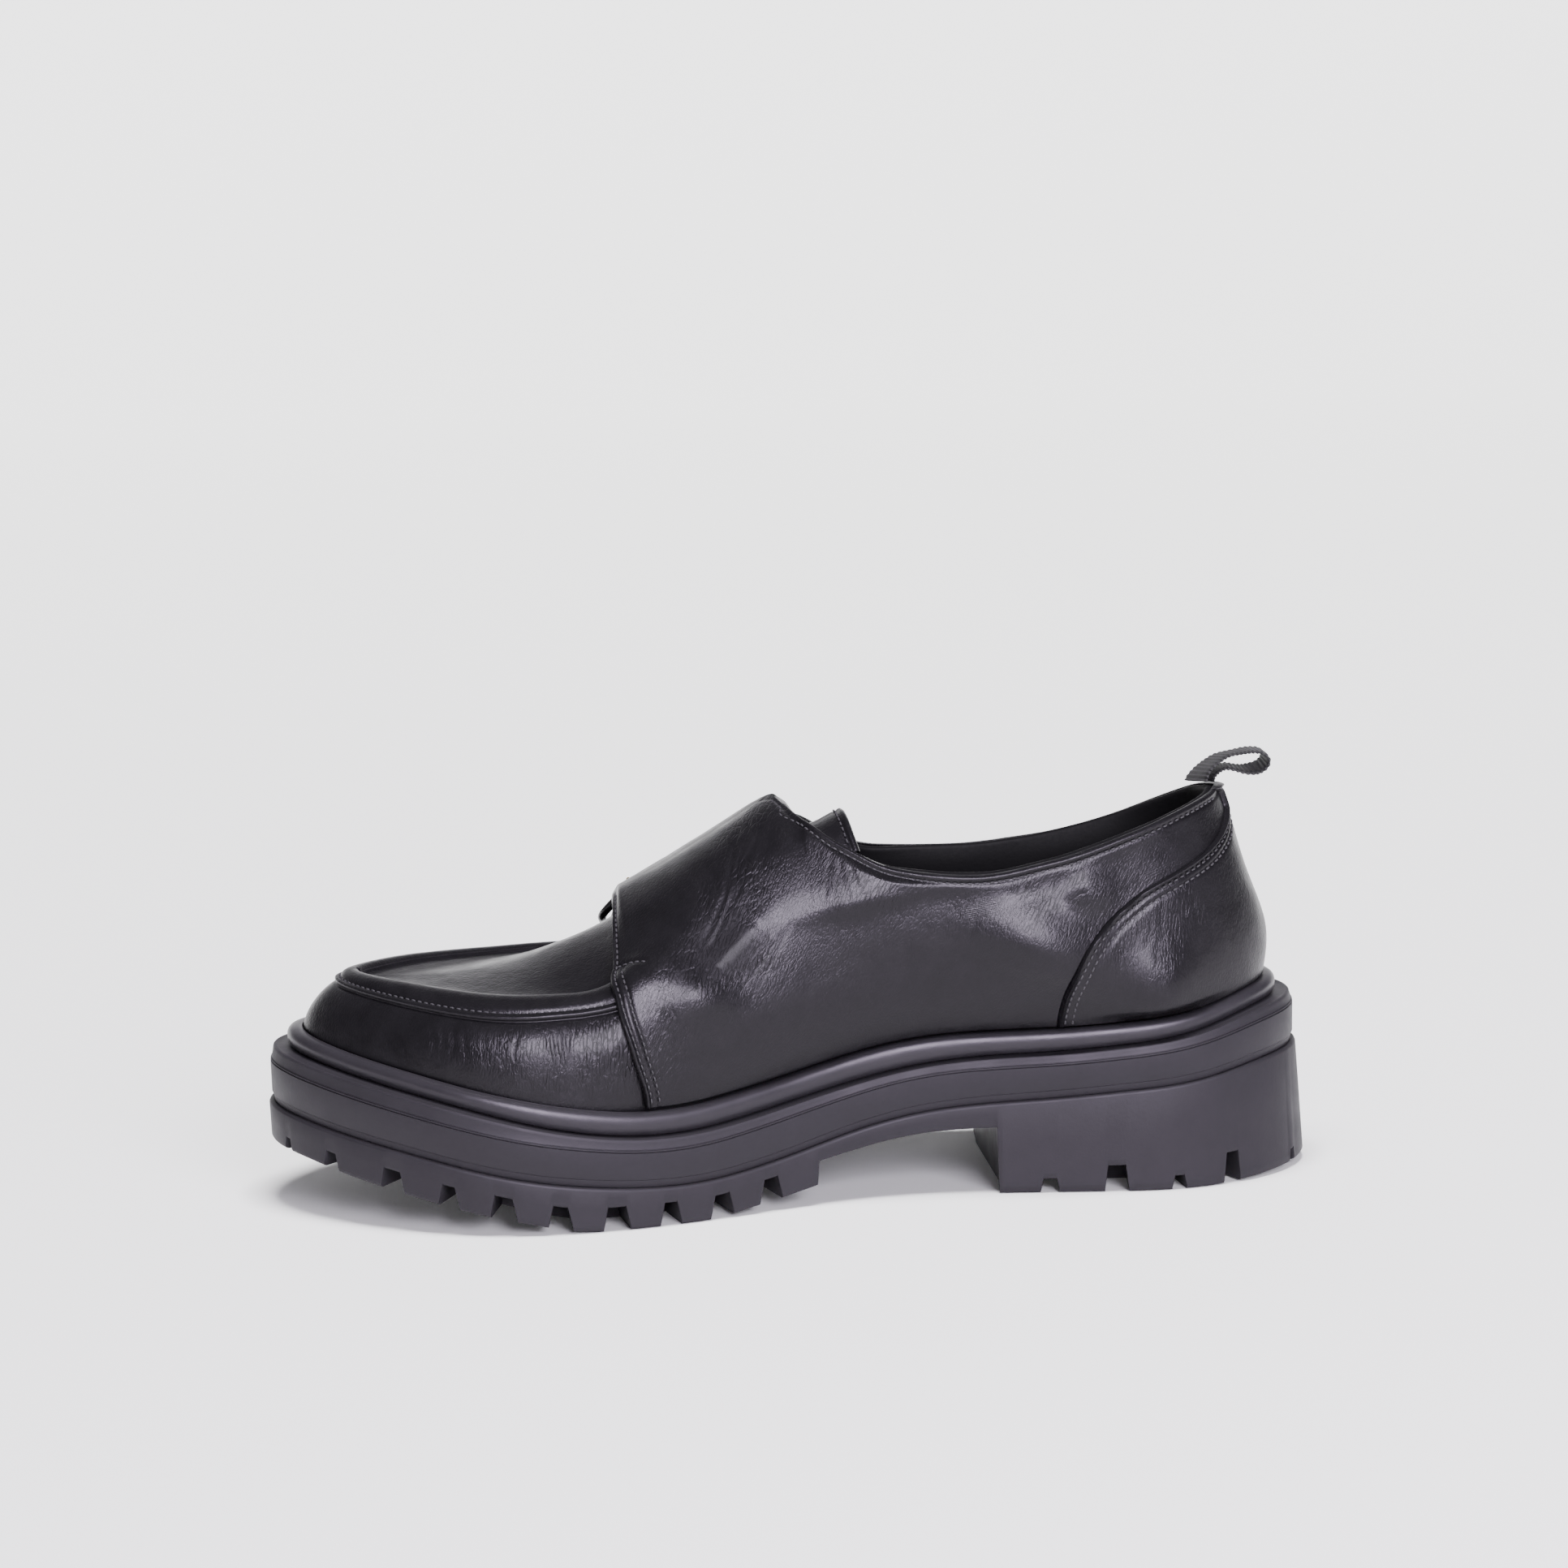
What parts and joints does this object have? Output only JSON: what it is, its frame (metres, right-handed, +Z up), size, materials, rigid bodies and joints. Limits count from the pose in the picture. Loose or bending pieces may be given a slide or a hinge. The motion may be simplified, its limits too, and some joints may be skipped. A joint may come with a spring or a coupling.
{
  "type": "buckle derby shoe",
  "caption": "Right derby shoe: hollow upper with a raised apron toe and a buckled strap flap, on a lugged platform sole with a block heel, and a pull loop at the heel.",
  "frame": {"origin": "on the floor, under the middle of the shoe's box", "axes": "+X towards the heel (the toe points along -X), +Y towards the lateral (outer) side, +Z up"},
  "size_m": [0.2774, 0.1056, 0.1108],
  "materials": {
    "rubber": "matt moulded rubber",
    "leather": "semi-gloss creased synthetic leather",
    "lining": "matt lining",
    "tape": "ribbed woven tape",
    "black_metal": "black lacquer",
    "gold_metal": "polished gold tone"
  },
  "bodies": {
    "root": {"outsole": "rubber", "midsole": "rubber", "welt": "rubber", "insole": "lining", "upper": "leather", "tongue": "leather", "medial_quarter": "leather", "lateral_quarter": "leather", "heel_counter": "leather", "buckle_front": "black_metal", "buckle_rear": "black_metal", "pin_front": "gold_metal", "pin_rear": "gold_metal", "pull_loop": "tape"}
  },
  "joints": []
}
